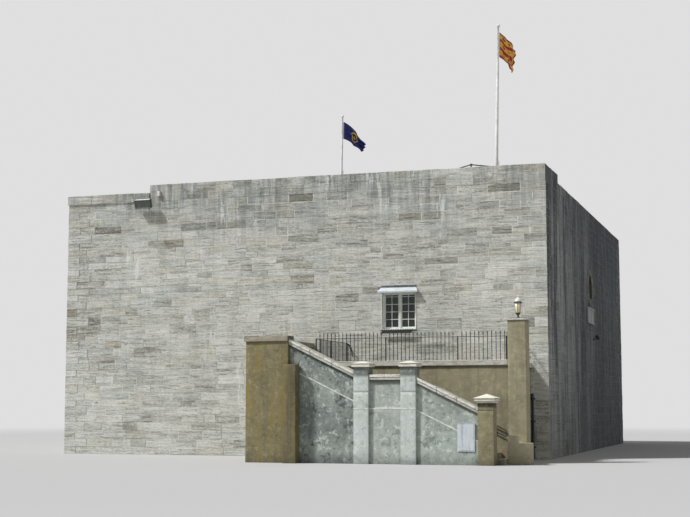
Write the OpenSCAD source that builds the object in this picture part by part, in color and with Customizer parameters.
// Castle keep: a square ashlar tower with blank walls, a flat roof behind low parapets,
// and at its foot a railed terrace that an outside stair climbs to.
// X runs along the front face to the right, Y runs into the building, Z is up.
// The origin is the centre of the tower's plan at ground level.

/* [Tower] */
// Width of the front face
tower_w = 17000; // [14000:100:20500]
// Depth from the front face to the back face
tower_d = 19000; // [15800:100:23000]
// Height of the roof deck's top
deck_z = 8600; // [8000:50:10500]
// Height of the parapet above the roof deck along most of the front
raised_parapet_h = 700; // [500:10:1100]
// Height of the parapet above the roof deck on the other sides
low_parapet_h = 430; // [300:10:490]
// Thickness of the parapets
parapet_t = 900; // [600:10:1000]
// Length of the low parapet at the left end of the front
low_front_len = 3150; // [1500:50:5000]
// Length of the raised parapet's return on the right face
raised_return_len = 2340; // [1500:20:4000]
// Thickness of the walls below the upper floor
wall_low_t = 2200; // [1800:20:2600]
// Thickness of the walls above the upper floor
wall_high_t = 1950; // [1500:10:2100]
// Height of the upper floor's top
upper_floor_z = 3300; // [2900:20:3500]
// Thickness of the upper floor
floor_t = 250; // [150:10:400]
// Thickness of the ground floor's paving bed
ground_floor_t = 150; // [100:10:300]
// Thickness of the roof deck
deck_t = 300; // [200:10:400]

/* [Windows and door] */
// Distance of the front window's middle from the tower's middle
window_x = 3655; // [1500:5:5000]
// Height of the window sills
window_sill_z = 4120; // [3900:10:4400]
// Width of the window openings
window_w = 1170; // [900:5:1420]
// Height of the window openings
window_h = 1230; // [900:10:1500]
// Depth from the wall face to the window frame
window_reveal = 140; // [60:5:300]
// Depth of the window frame
window_frame_d = 90; // [60:5:140]
// Width of the window frame's members
window_frame_w = 55; // [30:5:80]
// Width of the casements' rails
sash_w = 38; // [25:1:60]
// Width of each embrasure at the inner wall face
embrasure_w = 1900; // [1500:20:2400]
// Width of the door opening in the back wall
door_w = 1300; // [1000:10:1500]
// Height of the door opening at its sides
door_spring_h = 1950; // [1700:10:2200]
// Rise of the door opening's arch
door_rise = 260; // [100:10:400]
// Depth from the wall face to the door's frame
door_reveal = 420; // [200:10:600]
// Width of the door frame's members
door_frame_w = 110; // [70:5:150]
// Depth of the door frame
door_frame_d = 160; // [100:5:220]
// Thickness of the door
door_t = 70; // [40:5:90]
// Projection of the window hood
hood_out = 180; // [100:10:400]

/* [Niche and plaque] */
// Position of the niche along the right face
niche_y = -100; // [-2000:50:2000]
// Height of the niche's middle
niche_z = 6100; // [5500:10:7000]
// Diameter of the niche
niche_dia = 1120; // [900:2:1400]
// Depth of the niche
niche_depth = 430; // [300:10:600]
// Width of the stone ring round the niche
niche_ring_w = 130; // [80:5:200]
// Clearance between the bust's head and the top of the niche
bust_gap = 180; // [60:5:300]
// Width of the plaque
plaque_w = 1600; // [1000:20:2000]
// Height of the plaque
plaque_h = 480; // [300:10:600]
// Clearance between the plaque's border and the niche's ring
plaque_gap = 70; // [10:5:300]

/* [Roof fittings] */
// Height of the tall flagpole's top
tall_pole_z = 14860; // [12000:20:16000]
// Height of the short flagpole's top
short_pole_z = 12040; // [11000:20:13000]
// Distance of the flagpoles behind the front face
pole_y = 3200; // [2000:50:5000]
// Position of the tall flagpole from the tower's right face
tall_pole_x = 2270; // [1500:10:4000]
// Position of the short flagpole from the tower's right face
short_pole_x = 7900; // [5000:20:9000]
// Side of the square guard round the roof hatch
guard_side = 1240; // [800:10:1500]
// Height of the roof guard
guard_h = 1100; // [900:10:1200]
// Distance of the tall flagpole's axis from the near side of the roof guard
guard_gap = 272; // [240:2:500]
// Distance of the tall flagpole's axis from the guard's front corner, along that side
guard_shift = 834; // [600:2:1200]

/* [Terrace] */
// Depth of the terrace, from the tower's face to the terrace wall's outer face
terrace_depth = 3170; // [2600:10:3800]
// Height of the terrace floor
terrace_z = 2720; // [2560:20:2880]
// Thickness of the terrace walls
terrace_wall_t = 440; // [350:10:600]
// Height of the terrace coping's top
coping_z = 3000; // [2950:10:3200]
// Thickness of the copings
coping_t = 160; // [80:5:180]
// Projection of the copings past the wall faces
coping_out = 40; // [20:5:80]
// Height of the lantern on the tall pier
lantern_h = 680; // [560:10:800]
// Side of the tall corner pier
tall_pier_w = 540; // [430:2:650]
// Height of the tall corner pier below its cap
tall_pier_z = 4140; // [3900:10:4600]
// Distance of the tall pier's right side from the tower's right corner
tall_pier_x = 90; // [70:10:600]
// Spacing of the railing's posts
railing_bay = 2225; // [1800:5:2500]
// Height of the railing's top rail above the coping
rail_h = 700; // [500:10:900]
// Height of the bars' points above the top rail
spear_h = 180; // [80:5:220]
// Spacing of the railing's bars
bar_pitch = 122; // [100:1:145]
// Side of the railing's bars
bar_w = 18; // [14:1:26]

/* [Stair] */
// Distance of the stair piers' front from the tower's front face
stair_front = 4820; // [4600:20:5600]
// Side of the stair piers
pier_w = 450; // [400:10:500]
// Position of the foot pier's middle from the tower's right corner
foot_pier_x = 960; // [900:10:1300]
// Position of the right landing pier's middle from the tower's right corner
right_pier_x = 3205; // [3000:10:3400]
// Position of the left landing pier's middle from the tower's right corner
left_pier_x = 4615; // [4500:10:5000]
// Position of the lowest riser from the tower's right corner
first_riser_x = 530; // [400:10:600]
// Height of one step
riser = 160; // [130:1:192]
// Depth of one step
going = 330; // [275:1:396]
// Number of steps from the ground to the landing
lower_steps = 9; // [7:1:10]
// Height of the lower parapet's coping above the line of the steps
lower_parapet_h = 1130; // [900:10:1200]
// Height of the landing's coping above the landing
landing_parapet_h = 1120; // [900:10:1200]
// Height of the upper parapet's coping above the line of the steps
upper_parapet_h = 1040; // [900:10:1200]
// Height of the plinth above the line of the steps
plinth_h = 200; // [100:10:300]
// Distance of the stair walls' plinths behind the piers' faces
wall_set = 90; // [40:5:120]
// Recess of the wall panels behind the plinths
panel_recess = 25; // [15:5:50]
// Height of the foot pier's shaft above the end of the sloped coping
foot_pier_rise = 127; // [80:1:400]
// Height of the landing piers' shafts above the landing's coping
landing_pier_rise = 210; // [150:2:400]
// Projection of the landing piers' caps
cap_out = 60; // [40:5:90]
// Projection of the foot pier's cap
foot_cap_out = 100; // [60:5:120]
// Length of the level wall at the stair's head
head_wall_len = 1340; // [1200:20:1600]
// Height of the level wall's coping above the terrace floor
head_parapet_h = 1000; // [900:10:1100]
// Thickness of the wall at the stair's left end
end_wall_t = 400; // [300:10:500]

/* [Hidden] */

ASHLAR = "#b0aea2";
OCHRE = "#a29a78";
RENDER = "#b9c0b9";
CAPSTONE = "#dcd8c8";
IRON = "#202224";
WHITE = "#e8e8e4";
OAK = "#6b5238";

// Half sizes of the tower, and the line of its faces
half_w = tower_w / 2;
half_d = tower_d / 2;
front_y = -half_d;
ledge_z = upper_floor_z - floor_t;
wall_top_z = deck_z - deck_t;
raised_z = deck_z + raised_parapet_h;
low_z = deck_z + low_parapet_h;
window_top_z = window_sill_z + window_h;

// Depth of the straight part of a window's reveal before it splays
embrasure_start = window_reveal + window_frame_d + 150;
// Thickness of the window glass, and the gap round the door in its frame
glass_t = 8;
door_gap = 5;
// The door shuts against a stop this wide, cut in its frame
door_stop = 25;
door_stop_y = door_reveal + 50 + door_t;

// Terrace lines
terrace_y = front_y - terrace_depth;
terrace_in_y = terrace_y + terrace_wall_t;
coping_under_z = coping_z - coping_t;
tall_pier_right = half_w - tall_pier_x;
tall_pier_left = tall_pier_right - tall_pier_w;
// The tall pier stands proud of the terrace wall by this much
tall_pier_proud = 60;
tall_pier_y = terrace_y - tall_pier_proud;
tall_pier_back = tall_pier_y + tall_pier_w;
end_wall_x = tall_pier_left + 70;
terrace_left = tall_pier_left - 2 * railing_bay - 1610;
rail_y = terrace_y + terrace_wall_t / 2 - 60;

// Stair lines
stair_y = front_y - stair_front;
pier_back_y = stair_y + pier_w;
foot_x = half_w - foot_pier_x;
right_x = half_w - right_pier_x;
left_x = half_w - left_pier_x;
riser_x = half_w - first_riser_x;
landing_z = lower_steps * riser;
landing_x = riser_x - (lower_steps - 1) * going;
upper_riser_x = left_x - pier_w / 2;
upper_steps = round((terrace_z - landing_z) / riser);
upper_riser = (terrace_z - landing_z) / upper_steps;
head_x = upper_riser_x - (upper_steps - 1) * going;
// The level wall begins this far before the highest riser
head_wall_lap = 290;
head_wall_right = head_x + head_wall_lap;
head_wall_left = head_wall_right - head_wall_len;
head_top_z = terrace_z + head_parapet_h;

// Height of the line of steps at a place on each flight
function lower_line(x) = riser * ((riser_x - x) / going + 1);
function upper_line(x) = landing_z + upper_riser * ((upper_riser_x - x) / going + 1);

// Each stair wall stands between two piers, and its coping sets their height
lower_x0 = right_x + pier_w / 2;
lower_x1 = foot_x - pier_w / 2;
landing_x0 = left_x + pier_w / 2;
landing_x1 = right_x - pier_w / 2;
upper_x1 = left_x - pier_w / 2;
landing_coping_z = landing_z + landing_parapet_h;
landing_pier_z = landing_coping_z + landing_pier_rise;
foot_pier_z = lower_line(lower_x1) + lower_parapet_h + foot_pier_rise;

// A stair coping is a slab over a narrower bed, and both stand a little behind the piers' faces
sloped_t = 165;
slab_share = 0.5;
slab_y = stair_y + wall_set / 3;
bed_y = stair_y + wall_set / 2;
bed_out = coping_out * 0.35;

// A block given by its lowest and highest corners
module block(lo, hi) {
    translate(lo) cube(hi - lo);
}

// A shape drawn in X and Z, and extruded in Y from y0 to y1
module along_y(y0, y1, outline) {
    translate([0, y1, 0]) rotate([90, 0, 0]) linear_extrude(y1 - y0) polygon(outline);
}

// The space of a window: straight reveal outside, splayed to the inner face
module window_space(wall_t) {
    straight = window_w / 2;
    splayed = embrasure_w / 2;
    translate([0, 0, window_sill_z]) linear_extrude(window_h) polygon([
        [-straight, -10], [straight, -10], [straight, embrasure_start],
        [splayed, wall_t + 10], [-splayed, wall_t + 10], [-straight, embrasure_start]]);
}

// A segmental-arched prism, standing on z = 0 and extruded in Y from y0 to y1
module arched(w, spring, rise, y0, y1) {
    arc_r = (w * w / 4 + rise * rise) / (2 * rise);
    block([-w / 2, y0, 0], [w / 2, y1, spring]);
    intersection() {
        translate([0, y1, spring + rise - arc_r]) rotate([90, 0, 0])
            cylinder(r = arc_r, h = y1 - y0, $fn = 96);
        block([-w / 2, y0, spring - 1], [w / 2, y1, spring + rise + 1]);
    }
}

// A full-width wall of two thicknesses, with its outer face on y = 0 and its length along X
module stepped_wall(len_low, len_high) {
    block([-len_low / 2, 0, 0], [len_low / 2, wall_low_t, ledge_z]);
    block([-len_high / 2, 0, ledge_z], [len_high / 2, wall_high_t, wall_top_z]);
}

module front_wall() {
    color(ASHLAR) translate([0, front_y, 0]) difference() {
        stepped_wall(tower_w, tower_w);
        translate([window_x, 0, 0]) window_space(wall_high_t);
    }
}

// The back wall faces the other way, so it is built on the front's lines and turned round
module back_wall() {
    color(ASHLAR) rotate([0, 0, 180]) translate([0, front_y, 0]) difference() {
        stepped_wall(tower_w, tower_w);
        translate([window_x, 0, 0]) window_space(wall_high_t);
        arched(door_w, door_spring_h, door_rise, -10, door_reveal + door_frame_d);
        arched(door_w + 240, door_spring_h + 60, door_rise, door_reveal + door_frame_d, wall_low_t + 10);
    }
}

// A side wall fits between the front and back walls
module side_wall() {
    translate([0, -half_w, 0])
        stepped_wall(tower_d - 2 * wall_low_t, tower_d - 2 * wall_high_t);
}

niche_sill_z = niche_z - niche_dia / 2 + 140;
plaque_border = 60;
plaque_z = niche_z - niche_dia / 2 - niche_ring_w - plaque_gap - plaque_border - plaque_h / 2;
plaque_under_z = plaque_z - plaque_h / 2 - plaque_border;

// The niche's space: a round hole with a level sill
module niche_space(r, y0, y1) {
    intersection() {
        translate([0, y1, niche_z]) rotate([90, 0, 0]) cylinder(r = r, h = y1 - y0, $fn = 64);
        block([-r - 1, y0 - 1, niche_sill_z], [r + 1, y1 + 1, niche_z + r + 1]);
    }
}

module right_wall() {
    color(ASHLAR) rotate([0, 0, 90]) difference() {
        side_wall();
        translate([niche_y, -half_w, 0]) niche_space(niche_dia / 2, -10, niche_depth);
    }
}

module left_wall() {
    color(ASHLAR) rotate([0, 0, -90]) side_wall();
}

module ground_floor() {
    inner_w = half_w - wall_low_t;
    inner_d = half_d - wall_low_t;
    color("#8d8a80") block([-inner_w, -inner_d, 0], [inner_w, inner_d, ground_floor_t]);
}

module upper_floor() {
    inner_w = half_w - wall_high_t;
    inner_d = half_d - wall_high_t;
    color(OAK) block([-inner_w, -inner_d, ledge_z], [inner_w, inner_d, upper_floor_z]);
}

module roof_deck() {
    inner_w = half_w - parapet_t;
    inner_d = half_d - parapet_t;
    color("#8f8d86") block([-inner_w, -inner_d, wall_top_z], [inner_w, inner_d, deck_z]);
}

module raised_parapet() {
    color(ASHLAR) {
        block([-half_w + low_front_len, front_y, wall_top_z], [half_w, front_y + parapet_t, raised_z]);
        block([half_w - parapet_t, front_y, wall_top_z],
              [half_w, front_y + raised_return_len, raised_z]);
    }
}

// The left parapet turns the corner to the start of the raised one, and its top stones project
low_cap_t = 290;
low_cap_out = 40;
module left_parapet() {
    cap_under_z = low_z - low_cap_t;
    color(ASHLAR) {
        block([-half_w, front_y, wall_top_z], [-half_w + parapet_t, half_d, low_z]);
        block([-half_w, front_y, wall_top_z],
              [-half_w + low_front_len, front_y + parapet_t, low_z]);
        block([-half_w - low_cap_out, front_y - low_cap_out, cap_under_z],
              [-half_w + parapet_t, half_d, low_z]);
        block([-half_w - low_cap_out, front_y - low_cap_out, cap_under_z],
              [-half_w + low_front_len, front_y + parapet_t, low_z]);
    }
}

module back_parapet() {
    color(ASHLAR) block([-half_w + parapet_t, half_d - parapet_t, wall_top_z],
                        [half_w - parapet_t, half_d, low_z]);
}

module right_parapet() {
    color(ASHLAR) block([half_w - parapet_t, front_y + raised_return_len, wall_top_z],
                        [half_w, half_d, low_z]);
}

// A painted frame with a mullion, and two casements whose panes are left open
module window_unit() {
    y0 = window_reveal;
    y1 = window_reveal + window_frame_d;
    half = window_w / 2;
    pane_w = half - 1.5 * window_frame_w;
    translate([0, 0, window_sill_z]) difference() {
        block([-half, y0, 0], [half, y1, window_h]);
        for (side = [-1, 1]) {
            middle = side * (window_frame_w / 2 + pane_w / 2);
            translate([middle, 0, 0]) {
                block([-pane_w / 2, y0 - 1, window_frame_w],
                      [pane_w / 2, y0 + 30, window_h - window_frame_w]);
                block([-pane_w / 2 + sash_w, y0 - 1, window_frame_w + sash_w],
                      [pane_w / 2 - sash_w, y1 + 1, window_h - window_frame_w - sash_w]);
            }
        }
    }
}

// The two panes, set in the middle of the casements' thickness
module window_panes() {
    pane_w = window_w / 2 - 1.5 * window_frame_w;
    y0 = window_reveal + 50;
    for (side = [-1, 1]) {
        middle = side * (window_frame_w / 2 + pane_w / 2);
        translate([middle, 0, window_sill_z])
            block([-pane_w / 2 + sash_w, y0, window_frame_w + sash_w],
                  [pane_w / 2 - sash_w, y0 + glass_t, window_h - window_frame_w - sash_w]);
    }
}

module front_window() {
    color(WHITE) translate([window_x, front_y, 0]) window_unit();
}

module front_window_glass() {
    color("#3b4650") translate([window_x, front_y, 0]) window_panes();
}

module back_window() {
    color(WHITE) rotate([0, 0, 180]) translate([window_x, front_y, 0]) window_unit();
}

module back_window_glass() {
    color("#3b4650") rotate([0, 0, 180]) translate([window_x, front_y, 0]) window_panes();
}

// A boarded hood over the front window. Its top slopes and widens to the front edge, which has a
// lip below it. Cheeks close its ends, and its underside is open.
module window_hood() {
    half = window_w / 2;
    flare = 90;
    board_t = 28;
    top = window_top_z + 150;
    fall = 140;
    lip_z = top - fall - 50;
    color(WHITE) translate([window_x, front_y, 0]) {
        hull() {
            block([-half, -10, top - board_t], [half, 0, top]);
            block([-half - flare, -hood_out, top - fall - board_t],
                  [half + flare, 10 - hood_out, top - fall]);
        }
        block([-half - flare, -hood_out, lip_z], [half + flare, 22 - hood_out, top - fall - 5]);
        for (side = [-1, 1]) hull() {
            translate([side * (half - board_t / 2), -10, lip_z])
                translate([-board_t / 2, 0, 0]) cube([board_t, 10, top - lip_z - 5]);
            translate([side * (half + flare - board_t / 2), -hood_out, lip_z])
                translate([-board_t / 2, 0, 0]) cube([board_t, 10, fall / 2 - 20]);
        }
    }
}

// An iron sill guard below the front window
module window_guard() {
    guard_w = window_w - 20;
    color(IRON) translate([window_x, front_y, window_sill_z]) {
        difference() {
            block([-guard_w / 2, -150, -130], [guard_w / 2, 0, 20]);
            block([-guard_w / 2 + 12, -138, -118], [guard_w / 2 - 12, -12, 30]);
        }
    }
}

// A plank door with its frame, in the back wall's doorway
module back_door_frame() {
    color(OAK) rotate([0, 0, 180]) translate([0, front_y, 0]) difference() {
        arched(door_w, door_spring_h, door_rise, door_reveal, door_reveal + door_frame_d);
        translate([0, 0, -1]) arched(door_w - 2 * door_frame_w, door_spring_h - 20,
            door_rise - 30, door_reveal - 1, door_stop_y);
        translate([0, 0, -1]) arched(door_w - 2 * door_frame_w - 2 * door_stop, door_spring_h - 40,
            door_rise - 40, door_reveal - 1, door_reveal + door_frame_d + 1);
    }
}

module back_door() {
    leaf_w = door_w - 2 * door_frame_w - 2 * door_gap;
    color("#4d3a28") rotate([0, 0, 180]) translate([0, front_y, door_gap])
        arched(leaf_w, door_spring_h - 2 * door_gap - 25, door_rise - 34, door_stop_y - door_t, door_stop_y);
}

module niche_ring() {
    color(CAPSTONE) rotate([0, 0, 90]) translate([niche_y, -half_w, 0]) difference() {
        translate([0, 0, niche_z]) rotate([90, 0, 0])
            cylinder(d = niche_dia + 2 * niche_ring_w, h = 70, $fn = 64);
        niche_space(niche_dia / 2, -80, 10);
    }
}

// A head and draped shoulders on a turned socle, plain in every feature.
// It is drawn 800 high, and scaled to the height that the niche leaves it.
module bust() {
    bust_h = niche_z + niche_dia / 2 - niche_sill_z - bust_gap;
    color("#d8cfae") rotate([0, 0, 90]) translate([niche_y, -half_w + niche_depth / 2, niche_sill_z])
        scale(bust_h / 800) {
            rotate_extrude($fn = 48) polygon([
                [0, 0], [110, 0], [110, 30], [96, 42], [70, 60], [58, 84], [66, 104], [92, 122],
                [104, 150], [0, 150]]);
            bust_shoulders();
            bust_head();
        }
}

// The chest narrows to the socle, and a collar of cloth stands round the neck
module bust_shoulders() {
    hull() {
        translate([0, 0, 140]) cylinder(d = 190, h = 20, $fn = 24);
        for (side = [-1, 1]) translate([side * 185, 10, 330]) sphere(d = 170, $fn = 20);
        translate([0, -30, 300]) sphere(d = 200, $fn = 20);
        translate([0, 10, 430]) cylinder(d = 150, h = 12, $fn = 24);
    }
    translate([0, 5, 425]) rotate_extrude($fn = 32)
        polygon([[0, 0], [98, 0], [108, 14], [92, 34], [72, 42], [0, 42]]);
}

// Neck, skull, jaw and a cap of hair
module bust_head() {
    translate([0, 5, 440]) cylinder(d1 = 128, d2 = 112, h = 100, $fn = 32);
    hull() {
        translate([0, 8, 690]) sphere(d = 200, $fn = 24);
        translate([0, -22, 575]) sphere(d = 118, $fn = 24);
    }
    intersection() {
        translate([0, 16, 692]) sphere(d = 222, $fn = 28);
        translate([-120, -34, 640]) cube([240, 180, 200]);
    }
}

// A bare stone tablet in a raised border
module wall_plaque() {
    half = plaque_w / 2;
    top = plaque_h / 2;
    color(WHITE) rotate([0, 0, 90]) translate([niche_y, -half_w, plaque_z]) difference() {
        block([-half - plaque_border, -70, -top - plaque_border], [half + plaque_border, 0, top + plaque_border]);
        block([-half, -71, -top], [half, -45, top]);
    }
}

// A small lamp on a bracket, below the plaque
module spot_lamp() {
    color(IRON) rotate([0, 0, 90]) translate([niche_y + 800, -half_w, plaque_under_z - 540]) {
        block([-60, -25, -60], [60, 0, 60]);
        block([-15, -240, -15], [15, -20, 15]);
        translate([0, -240, 0]) rotate([-35, 0, 0]) cylinder(d1 = 110, d2 = 170, h = 170, $fn = 32);
    }
}

// A floodlight on its bracket under the step of the parapet, with a sensor beside it
module floodlight() {
    color(IRON) translate([-half_w + low_front_len - 130, front_y, low_z - 400]) {
        block([-90, -40, -60], [90, 0, 60]);
        block([-25, -170, -25], [25, -30, 25]);
        translate([0, -240, 0]) rotate([20, 0, 0]) difference() {
            block([-290, -90, -150], [290, 90, 150]);
            block([-265, -91, -125], [265, -75, 125]);
            for (x = [-240:60:240]) block([x - 20, 60, -120], [x + 20, 91, 120]);
        }
    }
    color(WHITE) translate([-half_w + low_front_len + 370, front_y, low_z - 40]) difference() {
        block([-45, -110, -85], [45, 0, 85]);
        block([-30, -111, -70], [30, -102, -10]);
    }
}

// Each pole as its place from the right face, its top, its foot and tip diameters, and its lean
TALL = [tall_pole_x, tall_pole_z, 125, 62, 1.5];
SHORT = [short_pole_x, short_pole_z, 90, 50, 1.2];
function pole_len(p) = p[1] - deck_z - 70;
// Radius of a pole at a distance below its top
function pole_r(p, below) = (p[3] + (p[2] - p[3]) * below / pole_len(p)) / 2;

// What follows a pole's lean, measured from its foot along it
module on_pole(p) {
    translate([half_w - p[0], front_y + pole_y, deck_z + 20]) rotate([0, p[4], 0]) children();
}

// A tapered pole with a ball on top, leaning a little, in an upright socket
module flagpole(p) {
    translate([half_w - p[0], front_y + pole_y, deck_z]) {
        cylinder(d = 3.2 * p[2], h = 30, $fn = 32);
        cylinder(d = 1.6 * p[2], h = 450, $fn = 32);
    }
    on_pole(p) {
        cylinder(d1 = p[2], d2 = p[3], h = pole_len(p), $fn = 32);
        translate([0, 0, pole_len(p) + 10]) sphere(d = 1.9 * p[3], $fn = 24);
    }
}

module tall_flagpole() {
    color(WHITE) flagpole(TALL);
}

module short_flagpole() {
    color(WHITE) flagpole(SHORT);
}

// A flag blown out from its pole: a thin closed sheet that waves and droops
module flag(hoist, fly, along, swing, droop) {
    cols = 14;
    rows = 5;
    t = 12;
    function sheet(u, v, side) = [
        u * fly * along + 40 * sin(500 * u) * u,
        u * fly * swing + 70 * sin(420 * u + 60 * v) * u + side * t / 2,
        -v * hoist - droop * fly * pow(u, 1.5)];
    function at(i, j, s) = s * (cols + 1) * (rows + 1) + j * (cols + 1) + i;
    points = [for (s = [0, 1], j = [0:rows], i = [0:cols]) sheet(i / cols, j / rows, 2 * s - 1)];
    faces = concat(
        [for (j = [0:rows - 1], i = [0:cols - 1]) each [
            [at(i, j, 0), at(i, j + 1, 0), at(i + 1, j + 1, 0)],
            [at(i, j, 0), at(i + 1, j + 1, 0), at(i + 1, j, 0)],
            [at(i, j, 1), at(i + 1, j + 1, 1), at(i, j + 1, 1)],
            [at(i, j, 1), at(i + 1, j, 1), at(i + 1, j + 1, 1)]]],
        [for (i = [0:cols - 1]) each [
            [at(i, 0, 0), at(i + 1, 0, 0), at(i + 1, 0, 1)],
            [at(i, 0, 0), at(i + 1, 0, 1), at(i, 0, 1)],
            [at(i, rows, 0), at(i + 1, rows, 1), at(i + 1, rows, 0)],
            [at(i, rows, 0), at(i, rows, 1), at(i + 1, rows, 1)]]],
        [for (j = [0:rows - 1]) each [
            [at(0, j, 0), at(0, j + 1, 1), at(0, j + 1, 0)],
            [at(0, j, 0), at(0, j, 1), at(0, j + 1, 1)],
            [at(cols, j, 0), at(cols, j + 1, 0), at(cols, j + 1, 1)],
            [at(cols, j, 0), at(cols, j + 1, 1), at(cols, j, 1)]]]);
    polyhedron(points, faces);
}

// A flag hoisted close against its pole, its top edge this far below the pole's end
module hoisted(p, below, hoist) {
    on_pole(p) translate([pole_r(p, below + hoist) + 0.3, 0, pole_len(p) - below]) children();
}

module tall_flag() {
    color("firebrick") hoisted(TALL, 200, 880) flag(880, 1250, 0.42, 0.72, 0.35);
}

module short_flag() {
    color("midnightblue") hoisted(SHORT, 180, 620) flag(620, 1080, 0.74, 0.30, 0.42);
}

// The guard and the hatch inside it stand cornerwise, in line with each other
module guard_frame() {
    translate([half_w - tall_pole_x, front_y + pole_y, deck_z]) rotate([0, 0, 45])
        translate([-guard_gap - guard_side, -guard_shift, 0]) children();
}

// A square guard rail of tubes with flanged feet
module roof_guard() {
    tube_d = 42;
    side = guard_side;
    color(IRON) guard_frame() {
        for (x = [0, side], y = [0, side]) translate([x, y, 0]) {
            cylinder(d = tube_d, h = guard_h - tube_d / 2, $fn = 24);
            cylinder(d = 130, h = 12, $fn = 24);
        }
        for (z = [guard_h / 2, guard_h - tube_d / 2]) {
            for (y = [0, side]) translate([0, y, z]) rotate([0, 90, 0])
                cylinder(d = tube_d, h = side, $fn = 24);
            for (x = [0, side]) translate([x, side, z]) rotate([90, 0, 0])
                cylinder(d = tube_d, h = side, $fn = 24);
        }
        for (x = [0, side], y = [0, side]) translate([x, y, guard_h - tube_d / 2])
            sphere(d = tube_d, $fn = 24);
    }
}

// The shut hatch: a kerb, and a lid with a turned-down rim over it
module roof_hatch() {
    gap = 190;
    kerb_h = 150;
    kerb_t = 60;
    rim = 35;
    side = guard_side - 2 * gap;
    color(IRON) guard_frame() translate([gap, gap, 0]) {
        difference() {
            block([0, 0, 0], [side, side, kerb_h]);
            block([kerb_t, kerb_t, -1], [side - kerb_t, side - kerb_t, kerb_h - 20]);
        }
        block([-rim, -rim, kerb_h], [side + rim, side + rim, kerb_h + 45]);
        for (x = [side * 0.25, side * 0.75]) block([x - 30, side + rim - 5, kerb_h - 60],
                                                  [x + 30, side + rim + 25, kerb_h + 55]);
    }
}

module terrace_wall() {
    color(OCHRE) block([terrace_left, terrace_y, 0], [tall_pier_left, terrace_in_y, coping_under_z]);
}

// What stands behind the tall pier is cut round it
module clear_of_tall_pier() {
    difference() {
        children();
        block([tall_pier_left, tall_pier_y, -1], [tall_pier_right, tall_pier_back, tall_pier_z]);
    }
}

module terrace_end_wall() {
    color(OCHRE) clear_of_tall_pier()
        block([end_wall_x - terrace_wall_t, terrace_in_y, 0], [end_wall_x, front_y, coping_under_z]);
}

module terrace_deck() {
    color("#9a958a") block([terrace_left, terrace_in_y, 0],
                           [end_wall_x - terrace_wall_t, front_y, terrace_z]);
}

// Section of a level coping across its wall: weathered back from a square edge, with a drip under it
module coping_section(wall_t, t) {
    half = wall_t / 2 + coping_out;
    polygon([[-half, t - 12], [-half + 30, t], [half - 30, t], [half, t - 12], [half, 0],
             [half - 10, 0], [half - 16, 12], [half - 24, 0],
             [-half + 24, 0], [-half + 16, 12], [-half + 10, 0], [-half, 0]]);
}

// A level coping along X on a wall whose middle is at y
module coping_along_x(x0, x1, y, wall_t, under, t) {
    translate([x0, y, under]) rotate([90, 0, 90]) linear_extrude(x1 - x0) coping_section(wall_t, t);
}

// A level coping along Y on a wall whose middle is at x
module coping_along_y(x, y0, y1, wall_t, under, t) {
    translate([x, y1, under]) rotate([90, 0, 0]) linear_extrude(y1 - y0) coping_section(wall_t, t);
}

// Coping stones on the terrace's front and end walls
module terrace_coping() {
    color(CAPSTONE) {
        coping_along_x(terrace_left, tall_pier_left, terrace_y + terrace_wall_t / 2,
            terrace_wall_t, coping_under_z, coping_t);
        clear_of_tall_pier() coping_along_y(end_wall_x - terrace_wall_t / 2,
            terrace_in_y + coping_out + 2, front_y, terrace_wall_t, coping_under_z, coping_t);
    }
}

// One forged bar with a spear point
module spear_bar(h) {
    translate([-bar_w / 2, -bar_w / 2, 0]) cube([bar_w, bar_w, h]);
    translate([0, 0, h - 1]) cylinder(d1 = bar_w, d2 = 34, h = 26, $fn = 16);
    translate([0, 0, h + 24]) cylinder(d1 = 34, d2 = 4, h = spear_h - 60, $fn = 16);
}

// A railing of bars let into the coping, under one flat top rail, from x = 0 to x = len
module railing(len, post_first, post_last) {
    bars = floor(len / bar_pitch);
    step = len / bars;
    translate([0, -18, rail_h - 8]) cube([len, 36, 14]);
    for (i = [1:bars - 1]) translate([i * step, 0, 0]) spear_bar(rail_h + 36);
    if (post_first) rail_post();
    if (post_last) translate([len, 0, 0]) rail_post();
}

// A heavier post without a point, which stops at the top rail
module rail_post() {
    w = 1.8 * bar_w;
    translate([-w / 2, -w / 2, 0]) cube([w, w, rail_h + 16]);
}

rail_start = terrace_left + 70;

module railing_left() {
    color(IRON) translate([rail_start, rail_y, coping_z]) railing(railing_bay - bar_w - 2, true, false);
}

module railing_middle() {
    color(IRON) translate([rail_start + railing_bay, rail_y, coping_z])
        railing(railing_bay - bar_w - 2, true, false);
}

module railing_right() {
    start = rail_start + 2 * railing_bay;
    color(IRON) translate([start, rail_y, coping_z]) railing(tall_pier_left - start, true, false);
}

// The railing on the end wall runs from the tall pier back to the tower
module railing_end() {
    x = end_wall_x - terrace_wall_t / 2;
    start = tall_pier_back + 20;
    color(IRON) translate([x, start, coping_z]) rotate([0, 0, 90])
        railing(front_y - start, true, false);
}

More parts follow.
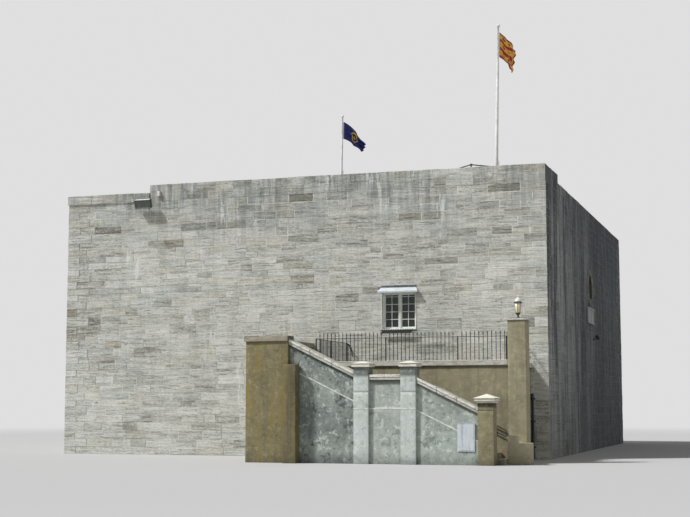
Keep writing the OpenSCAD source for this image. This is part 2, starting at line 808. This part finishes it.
// The return at the terrace's left end runs from the railing's corner post to the tower: bars in
// front, a sheet panel behind, and a curved stay that drops from its top rail to the tower's face
module return_railing() {
    x = rail_start;
    z = terrace_z;
    top = coping_z + rail_h + 6;
    start = terrace_in_y + coping_out + 40;
    half = (start + front_y) / 2 - 250;
    stay_w = 200;
    stay_h = 420;
    function bend(r, turns) = [for (a = turns) [x + (stay_w + r) * sin(a), top - stay_h + (stay_h + r) * cos(a)]];
    color(IRON) {
        for (y = [start, half, front_y - 20])
            block([x - bar_w, y - bar_w, z], [x + bar_w, y + bar_w, top]);
        block([x - 18, rail_y + 18, top - 14], [x + 18, front_y, top]);
        block([x - 12, start, z + 80], [x + 12, front_y - 20, z + 100]);
        for (y = [start + bar_pitch:bar_pitch:half - 60])
            block([x - bar_w / 2, y - bar_w / 2, z + 90], [x + bar_w / 2, y + bar_w / 2, top - 4]);
        block([x - 4, half, z + 90], [x + 4, front_y - 20, top - 6]);
        along_y(front_y - 30, front_y,
            concat(bend(0, [0:10:90]), bend(-2 * bar_w, [90:-10:0])));
    }
}

tall_cap_t = 70;

module tall_pier() {
    color(OCHRE) block([tall_pier_left, tall_pier_y, 0],
                       [tall_pier_right, tall_pier_back, tall_pier_z]);
}

// A thin slab with a weathered top that falls from the lantern's seat
module tall_pier_cap() {
    out = 25;
    x = (tall_pier_left + tall_pier_right) / 2;
    y = (tall_pier_y + tall_pier_back) / 2;
    r = tall_pier_w / 2 + out;
    color(CAPSTONE) translate([x, y, tall_pier_z]) {
        block([-r, -r, 0], [r, r, 45]);
        hull() {
            block([-r, -r, 44], [r, r, 45]);
            block([-110, -110, 45], [110, 110, tall_cap_t]);
        }
    }
}

// A small round lantern: foot, cup, tapered glass, brim, dome and finial in one turned shape.
// It is drawn 632 high, and scaled to its own height.
module pier_lantern() {
    color(WHITE) translate([(tall_pier_left + tall_pier_right) / 2,
                            (tall_pier_y + tall_pier_back) / 2, tall_pier_z + tall_cap_t])
        scale(lantern_h / 632) rotate_extrude($fn = 48) polygon([
            [0, 0], [70, 0], [70, 15], [28, 30], [22, 95], [50, 110], [72, 140], [72, 150],
            [66, 152], [98, 430], [122, 434], [122, 446], [96, 452], [84, 500], [52, 545],
            [20, 568], [12, 590], [20, 606], [14, 624], [0, 632]]);
}

// A low block that ends the stair's inner side in front of the tall pier, with a higher one on its corner
module foot_blocks() {
    front = tall_pier_y - 690;
    mid = tall_pier_right - 155;
    color(OCHRE) {
        block([riser_x, front, 0], [mid, front + 220, 820]);
        block([riser_x, front, 0], [tall_pier_right + 185, tall_pier_y, 600]);
    }
}

// A rainwater pipe in the corner between the terrace's end wall and the tower
module downpipe() {
    pipe_d = 75;
    out = 65;
    x = end_wall_x + out;
    y = front_y - 75;
    color(IRON) {
        translate([x, y, 0]) cylinder(d = pipe_d, h = 2000, $fn = 32);
        translate([x, y, 2000]) sphere(d = pipe_d, $fn = 32);
        translate([end_wall_x, y, 2000]) rotate([0, 90, 0]) cylinder(d = pipe_d, h = out, $fn = 32);
        for (z = [350, 1150, 1850]) translate([x, y, z]) {
            cylinder(d = pipe_d + 30, h = 60, $fn = 32);
            block([10 - out, 20, 10], [75, 75, 50]);
        }
    }
}

// One stair wall: plinth on the outer plane, panel behind it, both under a sloped or level top
module stair_wall(x0, x1, plinth0, plinth1, top0, top1) {
    along_y(stair_y + wall_set, pier_back_y, [[x0, 0], [x1, 0], [x1, plinth1], [x0, plinth0]]);
    along_y(stair_y + wall_set + panel_recess, pier_back_y, [[x0, 0], [x1, 0], [x1, top1], [x0, top0]]);
}

// The lower wall has a pocket for the meter cabinet
cabinet_x0 = lower_x1 - 602;
cabinet_w = 505;
cabinet_z0 = 380;
cabinet_h = 790;
cabinet_d = 180;

module lower_stair_wall() {
    color(RENDER) difference() {
        stair_wall(lower_x0, lower_x1,
            lower_line(lower_x0) + plinth_h, lower_line(lower_x1) + plinth_h,
            lower_line(lower_x0) + lower_parapet_h - sloped_t,
            lower_line(lower_x1) + lower_parapet_h - sloped_t);
        block([cabinet_x0, stair_y - 1, cabinet_z0],
              [cabinet_x0 + cabinet_w, stair_y + wall_set + cabinet_d, cabinet_z0 + cabinet_h]);
    }
}

module landing_wall() {
    color(RENDER) stair_wall(landing_x0, landing_x1, landing_z + plinth_h - 45,
        landing_z + plinth_h - 45, landing_coping_z - coping_t, landing_coping_z - coping_t);
}

module upper_stair_wall() {
    color(RENDER) stair_wall(head_wall_right, upper_x1,
        upper_line(head_wall_right) + plinth_h, upper_line(upper_x1) + plinth_h,
        upper_line(head_wall_right) + upper_parapet_h - sloped_t,
        upper_line(upper_x1) + upper_parapet_h - sloped_t);
}

// The level wall at the stair's head turns back along the end to the tower
module head_wall() {
    under = head_top_z - coping_t;
    color(OCHRE) {
        block([head_wall_left, stair_y, 0], [head_wall_right, pier_back_y, under]);
        block([head_wall_left, stair_y, 0], [head_wall_left + end_wall_t, front_y, under]);
    }
}

// A sloped coping stone between two places on a wall
module sloped_coping(x0, x1, top0, top1) {
    slab = sloped_t * slab_share;
    along_y(slab_y, pier_back_y + coping_out,
        [[x0, top0 - slab], [x1, top1 - slab], [x1, top1], [x0, top0]]);
    along_y(bed_y, pier_back_y + bed_out,
        [[x0, top0 - sloped_t], [x1, top1 - sloped_t], [x1, top1 - slab + 1], [x0, top0 - slab + 1]]);
}

// A level coping stone over a stair wall, of the same section
module level_coping(x0, x1, top) {
    slab = coping_t * slab_share;
    block([x0, slab_y, top - slab], [x1, pier_back_y + coping_out, top]);
    block([x0, bed_y, top - coping_t], [x1, pier_back_y + bed_out, top - slab + 1]);
}

module stair_copings() {
    color(CAPSTONE) {
        sloped_coping(lower_x0, lower_x1, lower_line(lower_x0) + lower_parapet_h,
            lower_line(lower_x1) + lower_parapet_h);
        level_coping(landing_x0, landing_x1, landing_coping_z);
        sloped_coping(head_wall_right, upper_x1, upper_line(head_wall_right) + upper_parapet_h,
            upper_line(upper_x1) + upper_parapet_h);
    }
}

// The head wall's coping turns the corner with its wall
module head_coping() {
    under = head_top_z - coping_t;
    color(CAPSTONE) {
        coping_along_x(head_wall_left - coping_out, head_wall_right, stair_y + pier_w / 2,
            pier_w, under, coping_t);
        coping_along_y(head_wall_left + end_wall_t / 2, stair_y - coping_out, front_y,
            end_wall_t, under, coping_t);
    }
}

module stair_piers() {
    h = pier_w / 2;
    color(RENDER) {
        for (x = [left_x, right_x])
            block([x - h, stair_y, 0], [x + h, pier_back_y, landing_pier_z]);
        block([foot_x - h, stair_y, 0], [foot_x + h, pier_back_y, foot_pier_z]);
    }
}

// A square cap: any narrow bed, a slab, and a low pyramid with a thin edge that overhangs it
module pier_cap(x, z, out, bed_t, slab_t, rise) {
    bed = pier_w / 2 + out * 0.45;
    slab = pier_w / 2 + out * 0.78;
    r = pier_w / 2 + out;
    lip_z = bed_t + slab_t;
    lip_t = 18;
    translate([x, stair_y + pier_w / 2, z]) {
        block([-bed, -bed, 0], [bed, bed, bed_t + 1]);
        block([-slab, -slab, bed_t], [slab, slab, lip_z]);
        block([-r, -r, lip_z], [r, r, lip_z + lip_t]);
        hull() {
            block([-r, -r, lip_z + lip_t - 1], [r, r, lip_z + lip_t]);
            block([-12, -12, lip_z + lip_t], [12, 12, lip_z + lip_t + rise]);
        }
    }
}

module stair_pier_caps() {
    color(CAPSTONE) {
        pier_cap(left_x, landing_pier_z, cap_out, 0, 92, 75);
        pier_cap(right_x, landing_pier_z, cap_out, 0, 92, 75);
        pier_cap(foot_x, foot_pier_z, foot_cap_out, 52, 72, 118);
    }
}

// Outline of a flight: steps down to the right from x_top, on a solid base
function steps_outline(x_first, z_first, count, rise, x_end) = concat(
    [[x_first, 0]],
    [for (i = [0:count - 1]) each [
        [x_first - i * going, z_first + i * rise],
        [x_first - i * going, z_first + (i + 1) * rise]]],
    [[x_end, z_first + count * rise], [x_end, 0]]);

// The lowest step is cut round the tall pier's foot
module lower_flight() {
    color("#b5b1a4") difference() {
        along_y(pier_back_y, terrace_y,
            steps_outline(riser_x, 0, lower_steps, riser, upper_riser_x));
        block([tall_pier_left, tall_pier_y, -1], [tall_pier_right, terrace_y + 1, landing_z]);
    }
}

module upper_flight() {
    color("#b5b1a4") along_y(pier_back_y, terrace_y,
        steps_outline(upper_riser_x, landing_z, upper_steps, upper_riser, head_wall_left + end_wall_t));
}

module head_platform() {
    color("#9a958a") block([head_wall_left + end_wall_t, terrace_y, 0],
                           [terrace_left, front_y, terrace_z]);
}

// Two sloping rails on the terrace wall, joined by turned-down ends
module stair_handrail() {
    tube_d = 38;
    y = terrace_y - 75;
    x0 = tall_pier_left - 60;
    x1 = landing_x + 80;
    high = 710;
    low = 530;
    color(IRON) {
        for (h = [high, low]) hull() {
            for (x = [x0, x1]) translate([x, y, lower_line(x) + h]) sphere(d = tube_d, $fn = 16);
        }
        for (x = [x0, x1]) {
            translate([x, y, lower_line(x) + low]) cylinder(d = tube_d, h = high - low, $fn = 24);
        }
        for (i = [0:2]) {
            x = x0 + (x1 - x0) * (i + 0.5) / 3;
            translate([x, y, lower_line(x) + low]) cylinder(d = 24, h = high - low, $fn = 24);
            translate([x, terrace_y, lower_line(x) + high]) rotate([90, 0, 0])
                cylinder(d = 24, h = 75, $fn = 24);
        }
    }
}

module meter_cabinet() {
    y = stair_y + wall_set;
    color(WHITE) block([cabinet_x0, y - 25, cabinet_z0],
                       [cabinet_x0 + cabinet_w, y + cabinet_d, cabinet_z0 + cabinet_h]);
}

// The stub of a rendered wall that meets the stair's head
module ramp_stub() {
    color(OCHRE) {
        block([head_wall_right - 70, stair_y - 260, 0], [head_wall_right + 330, stair_y, 2870]);
        block([head_wall_right, stair_y - 1, 0], [head_wall_right + 330, stair_y + wall_set, 2870]);
    }
}

front_wall();
right_wall();
back_wall();
left_wall();
ground_floor();
upper_floor();
roof_deck();
raised_parapet();
left_parapet();
back_parapet();
right_parapet();
front_window();
front_window_glass();
window_hood();
window_guard();
back_window();
back_window_glass();
back_door();
back_door_frame();
niche_ring();
bust();
wall_plaque();
spot_lamp();
floodlight();
tall_flagpole();
short_flagpole();
tall_flag();
short_flag();
roof_guard();
roof_hatch();
terrace_wall();
terrace_end_wall();
terrace_deck();
terrace_coping();
railing_left();
railing_middle();
railing_right();
railing_end();
return_railing();
tall_pier();
tall_pier_cap();
pier_lantern();
foot_blocks();
downpipe();
lower_stair_wall();
landing_wall();
upper_stair_wall();
head_wall();
stair_copings();
head_coping();
stair_piers();
stair_pier_caps();
lower_flight();
upper_flight();
head_platform();
stair_handrail();
meter_cabinet();
ramp_stub();
